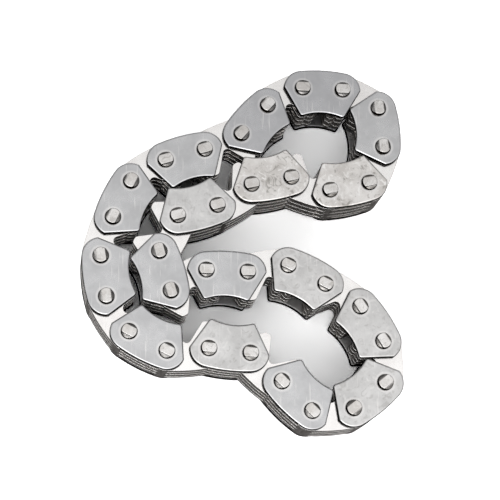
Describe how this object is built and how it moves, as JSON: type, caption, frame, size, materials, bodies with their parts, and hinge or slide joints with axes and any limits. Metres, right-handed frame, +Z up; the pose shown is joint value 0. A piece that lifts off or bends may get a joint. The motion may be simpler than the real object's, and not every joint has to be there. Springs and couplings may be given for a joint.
{
  "type": "inverted-tooth transmission chain",
  "caption": "Endless inverted-tooth (silent) transmission chain of toothed steel plates on round rivets with smooth guide plates, lying folded on its side.",
  "frame": {"origin": "centre of the folded chain's outline, on the plane of the lower rivet ends, which it rests on", "axes": "+Z up, along all rivets and pivots; +X to the picture's right and +Y to its top"},
  "size_m": [0.0752, 0.0856, 0.0146],
  "materials": {
    "guide_plate": "tumbled satin steel",
    "toothed_plate": "hardened steel, oiled",
    "rivet": "turned steel"
  },
  "bodies": {
    "guide_link_01": {"guide_row_01": "guide_plate", "rivets_01": "rivet"},
    "toothed_link_01": {"toothed_row_01": "toothed_plate"},
    "guide_link_02": {"guide_row_02": "guide_plate", "rivets_02": "rivet"},
    "toothed_link_02": {"toothed_row_02": "toothed_plate"},
    "guide_link_03": {"guide_row_03": "guide_plate", "rivets_03": "rivet"},
    "toothed_link_03": {"toothed_row_03": "toothed_plate"},
    "guide_link_04": {"guide_row_04": "guide_plate", "rivets_04": "rivet"},
    "toothed_link_04": {"toothed_row_04": "toothed_plate"},
    "guide_link_05": {"guide_row_05": "guide_plate", "rivets_05": "rivet"},
    "toothed_link_05": {"toothed_row_05": "toothed_plate"},
    "guide_link_06": {"guide_row_06": "guide_plate", "rivets_06": "rivet"},
    "toothed_link_06": {"toothed_row_06": "toothed_plate"},
    "guide_link_07": {"guide_row_07": "guide_plate", "rivets_07": "rivet"},
    "toothed_link_07": {"toothed_row_07": "toothed_plate"},
    "guide_link_08": {"guide_row_08": "guide_plate", "rivets_08": "rivet"},
    "toothed_link_08": {"toothed_row_08": "toothed_plate"},
    "guide_link_09": {"guide_row_09": "guide_plate", "rivets_09": "rivet"},
    "toothed_link_09": {"toothed_row_09": "toothed_plate"},
    "guide_link_10": {"guide_row_10": "guide_plate", "rivets_10": "rivet"},
    "toothed_link_10": {"toothed_row_10": "toothed_plate"},
    "guide_link_11": {"guide_row_11": "guide_plate", "rivets_11": "rivet"},
    "toothed_link_11": {"toothed_row_11": "toothed_plate"},
    "guide_link_12": {"guide_row_12": "guide_plate", "rivets_12": "rivet"},
    "toothed_link_12": {"toothed_row_12": "toothed_plate"},
    "guide_link_13": {"guide_row_13": "guide_plate", "rivets_13": "rivet"},
    "toothed_link_13": {"toothed_row_13": "toothed_plate"},
    "guide_link_14": {"guide_row_14": "guide_plate", "rivets_14": "rivet"},
    "toothed_link_14": {"toothed_row_14": "toothed_plate"},
    "guide_link_15": {"guide_row_15": "guide_plate", "rivets_15": "rivet"},
    "toothed_link_15": {"toothed_row_15": "toothed_plate"},
    "guide_link_16": {"guide_row_16": "guide_plate", "rivets_16": "rivet"},
    "toothed_link_16": {"toothed_row_16": "toothed_plate"},
    "guide_link_17": {"guide_row_17": "guide_plate", "rivets_17": "rivet"},
    "toothed_link_17": {"toothed_row_17": "toothed_plate"}
  },
  "joints": [
    {"name": "pivot_17", "type": "hinge", "parent": "guide_link_09", "child": "toothed_link_08", "pos_m": [0.00964, -0.00472, 0], "axis": [0, 0, 1], "range_deg": [-2.21, 0.16]},
    {"name": "pivot_16", "type": "hinge", "parent": "toothed_link_08", "child": "guide_link_08", "pos_m": [0.00023, -0.00621, 0], "axis": [0, 0, 1], "range_deg": [-0.18, 2.45]},
    {"name": "pivot_15", "type": "hinge", "parent": "guide_link_08", "child": "toothed_link_07", "pos_m": [-0.00928, -0.00571, 0], "axis": [0, 0, 1], "range_deg": [-0.34, 4.63]},
    {"name": "pivot_14", "type": "hinge", "parent": "toothed_link_07", "child": "guide_link_07", "pos_m": [-0.01749, -0.01055, 0], "axis": [0, 0, 1], "range_deg": [-2.77, 0.2]},
    {"name": "pivot_13", "type": "hinge", "parent": "guide_link_07", "child": "toothed_link_06", "pos_m": [-0.01996, -0.00135, 0], "axis": [0, 0, 1], "range_deg": [-2.11, 0.16]},
    {"name": "pivot_12", "type": "hinge", "parent": "toothed_link_06", "child": "guide_link_06", "pos_m": [-0.01556, 0.0071, 0], "axis": [0, 0, 1], "range_deg": [-0.35, 4.82]},
    {"name": "pivot_11", "type": "hinge", "parent": "guide_link_06", "child": "toothed_link_05", "pos_m": [-0.00636, 0.00957, 0], "axis": [0, 0, 1], "range_deg": [-7, 0.5]},
    {"name": "pivot_10", "type": "hinge", "parent": "toothed_link_05", "child": "guide_link_05", "pos_m": [0.00172, 0.01462, 0], "axis": [0, 0, 1], "range_deg": [-0.16, 2.19]},
    {"name": "pivot_09", "type": "hinge", "parent": "guide_link_05", "child": "toothed_link_04", "pos_m": [0.01109, 0.01635, 0], "axis": [0, 0, 1], "range_deg": [-0.28, 15.33]},
    {"name": "pivot_08", "type": "hinge", "parent": "toothed_link_04", "child": "guide_link_04", "pos_m": [0.02012, 0.01333, 0], "axis": [0, 0, 1], "range_deg": [-0.13, 6.76]},
    {"name": "pivot_07", "type": "hinge", "parent": "guide_link_04", "child": "toothed_link_03", "pos_m": [0.02947, 0.01515, 0], "axis": [0, 0, 1], "range_deg": [-11.65, 0.21]},
    {"name": "pivot_06", "type": "hinge", "parent": "toothed_link_03", "child": "guide_link_03", "pos_m": [0.03319, 0.02392, 0], "axis": [0, 0, 1], "range_deg": [-0.19, 10.25]},
    {"name": "pivot_05", "type": "hinge", "parent": "guide_link_03", "child": "toothed_link_02", "pos_m": [0.03253, 0.03342, 0], "axis": [0, 0, 1], "range_deg": [-24.52, 0.44]},
    {"name": "pivot_04", "type": "hinge", "parent": "toothed_link_02", "child": "guide_link_02", "pos_m": [0.02412, 0.03789, 0], "axis": [0, 0, 1], "range_deg": [-0.12, 6.5]},
    {"name": "pivot_03", "type": "hinge", "parent": "guide_link_02", "child": "toothed_link_01", "pos_m": [0.0146, 0.0383, 0], "axis": [0, 0, 1], "range_deg": [-0.13, 6.74]},
    {"name": "pivot_02", "type": "hinge", "parent": "toothed_link_01", "child": "guide_link_01", "pos_m": [0.00615, 0.03391, 0], "axis": [0, 0, 1], "range_deg": [-0.27, 14.87]},
    {"name": "pivot_01", "type": "hinge", "parent": "guide_link_01", "child": "toothed_link_17", "pos_m": [-0.00028, 0.02688, 0], "axis": [0, 0, 1], "range_deg": [-28, 0.5]},
    {"name": "pivot_34", "type": "hinge", "parent": "toothed_link_17", "child": "guide_link_17", "pos_m": [-0.00898, 0.02301, 0], "axis": [0, 0, 1], "range_deg": [-0.31, 17]},
    {"name": "pivot_33", "type": "hinge", "parent": "guide_link_17", "child": "toothed_link_16", "pos_m": [-0.01813, 0.02035, 0], "axis": [0, 0, 1], "range_deg": [-6.78, 0.13]},
    {"name": "pivot_18", "type": "hinge", "parent": "guide_link_09", "child": "toothed_link_09", "pos_m": [0.01809, -0.00912, 0], "axis": [0, 0, 1], "range_deg": [-1.6, 12.79]},
    {"name": "pivot_19", "type": "hinge", "parent": "toothed_link_09", "child": "guide_link_10", "pos_m": [0.02598, -0.01444, 0], "axis": [0, 0, 1], "range_deg": [-28, 3.5]},
    {"name": "pivot_20", "type": "hinge", "parent": "guide_link_10", "child": "toothed_link_10", "pos_m": [0.03096, -0.02257, 0], "axis": [0, 0, 1], "range_deg": [-1.64, 13.11]},
    {"name": "pivot_21", "type": "hinge", "parent": "toothed_link_10", "child": "guide_link_11", "pos_m": [0.03096, -0.03209, 0], "axis": [0, 0, 1], "range_deg": [-7.68, 0.96]},
    {"name": "pivot_22", "type": "hinge", "parent": "guide_link_11", "child": "toothed_link_11", "pos_m": [0.0234, -0.03789, 0], "axis": [0, 0, 1], "range_deg": [-1.73, 13.84]},
    {"name": "pivot_23", "type": "hinge", "parent": "toothed_link_11", "child": "guide_link_12", "pos_m": [0.01389, -0.03839, 0], "axis": [0, 0, 1], "range_deg": [-7.3, 0.92]},
    {"name": "pivot_24", "type": "hinge", "parent": "guide_link_12", "child": "toothed_link_12", "pos_m": [0.00721, -0.03159, 0], "axis": [0, 0, 1], "range_deg": [-1.72, 13.75]},
    {"name": "pivot_25", "type": "hinge", "parent": "toothed_link_12", "child": "guide_link_13", "pos_m": [0.0003, -0.02504, 0], "axis": [0, 0, 1], "range_deg": [-8.89, 1.12]},
    {"name": "pivot_26", "type": "hinge", "parent": "guide_link_13", "child": "toothed_link_13", "pos_m": [-0.00915, -0.02388, 0], "axis": [0, 0, 1], "range_deg": [-7.26, 0.91]},
    {"name": "pivot_27", "type": "hinge", "parent": "toothed_link_13", "child": "guide_link_14", "pos_m": [-0.01866, -0.02437, 0], "axis": [0, 0, 1], "range_deg": [-1.46, 11.61]},
    {"name": "pivot_28", "type": "hinge", "parent": "guide_link_14", "child": "toothed_link_14", "pos_m": [-0.02707, -0.0199, 0], "axis": [0, 0, 1], "range_deg": [-7.03, 0.88]},
    {"name": "pivot_29", "type": "hinge", "parent": "toothed_link_14", "child": "guide_link_15", "pos_m": [-0.03212, -0.01183, 0], "axis": [0, 0, 1], "range_deg": [-13.34, 1.67]},
    {"name": "pivot_30", "type": "hinge", "parent": "guide_link_15", "child": "toothed_link_15", "pos_m": [-0.03328, -0.00237, 0], "axis": [0, 0, 1], "range_deg": [-0.93, 7.4]},
    {"name": "pivot_31", "type": "hinge", "parent": "toothed_link_15", "child": "guide_link_16", "pos_m": [-0.03042, 0.00671, 0], "axis": [0, 0, 1], "range_deg": [-0.88, 7.01]}
  ],
  "couplings": [
    {"joint": "pivot_17", "follows": "pivot_11", "ratio": 0.31557},
    {"joint": "pivot_16", "follows": "pivot_11", "ratio": -0.3497},
    {"joint": "pivot_15", "follows": "pivot_11", "ratio": -0.66136},
    {"joint": "pivot_14", "follows": "pivot_11", "ratio": 0.3955},
    {"joint": "pivot_13", "follows": "pivot_11", "ratio": 0.30055},
    {"joint": "pivot_12", "follows": "pivot_11", "ratio": -0.68833},
    {"joint": "pivot_10", "follows": "pivot_11", "ratio": -0.31223},
    {"joint": "pivot_09", "follows": "pivot_01", "ratio": -0.54732},
    {"joint": "pivot_08", "follows": "pivot_01", "ratio": -0.24112},
    {"joint": "pivot_07", "follows": "pivot_01", "ratio": 0.4158},
    {"joint": "pivot_06", "follows": "pivot_01", "ratio": -0.36596},
    {"joint": "pivot_05", "follows": "pivot_01", "ratio": 0.87537},
    {"joint": "pivot_04", "follows": "pivot_01", "ratio": -0.23205},
    {"joint": "pivot_03", "follows": "pivot_01", "ratio": -0.24062},
    {"joint": "pivot_02", "follows": "pivot_01", "ratio": -0.53101},
    {"joint": "pivot_34", "follows": "pivot_01", "ratio": -0.60687},
    {"joint": "pivot_33", "follows": "pivot_01", "ratio": 0.24193},
    {"joint": "pivot_18", "follows": "pivot_19", "ratio": -0.45649},
    {"joint": "pivot_20", "follows": "pivot_19", "ratio": -0.46819},
    {"joint": "pivot_21", "follows": "pivot_19", "ratio": 0.27398},
    {"joint": "pivot_22", "follows": "pivot_19", "ratio": -0.49401},
    {"joint": "pivot_23", "follows": "pivot_19", "ratio": 0.26066},
    {"joint": "pivot_24", "follows": "pivot_19", "ratio": -0.49081},
    {"joint": "pivot_25", "follows": "pivot_19", "ratio": 0.31729},
    {"joint": "pivot_26", "follows": "pivot_19", "ratio": 0.25907},
    {"joint": "pivot_27", "follows": "pivot_19", "ratio": -0.41448},
    {"joint": "pivot_28", "follows": "pivot_19", "ratio": 0.25091},
    {"joint": "pivot_29", "follows": "pivot_19", "ratio": 0.4764},
    {"joint": "pivot_30", "follows": "pivot_19", "ratio": -0.264},
    {"joint": "pivot_31", "follows": "pivot_19", "ratio": -0.25033}
  ]
}
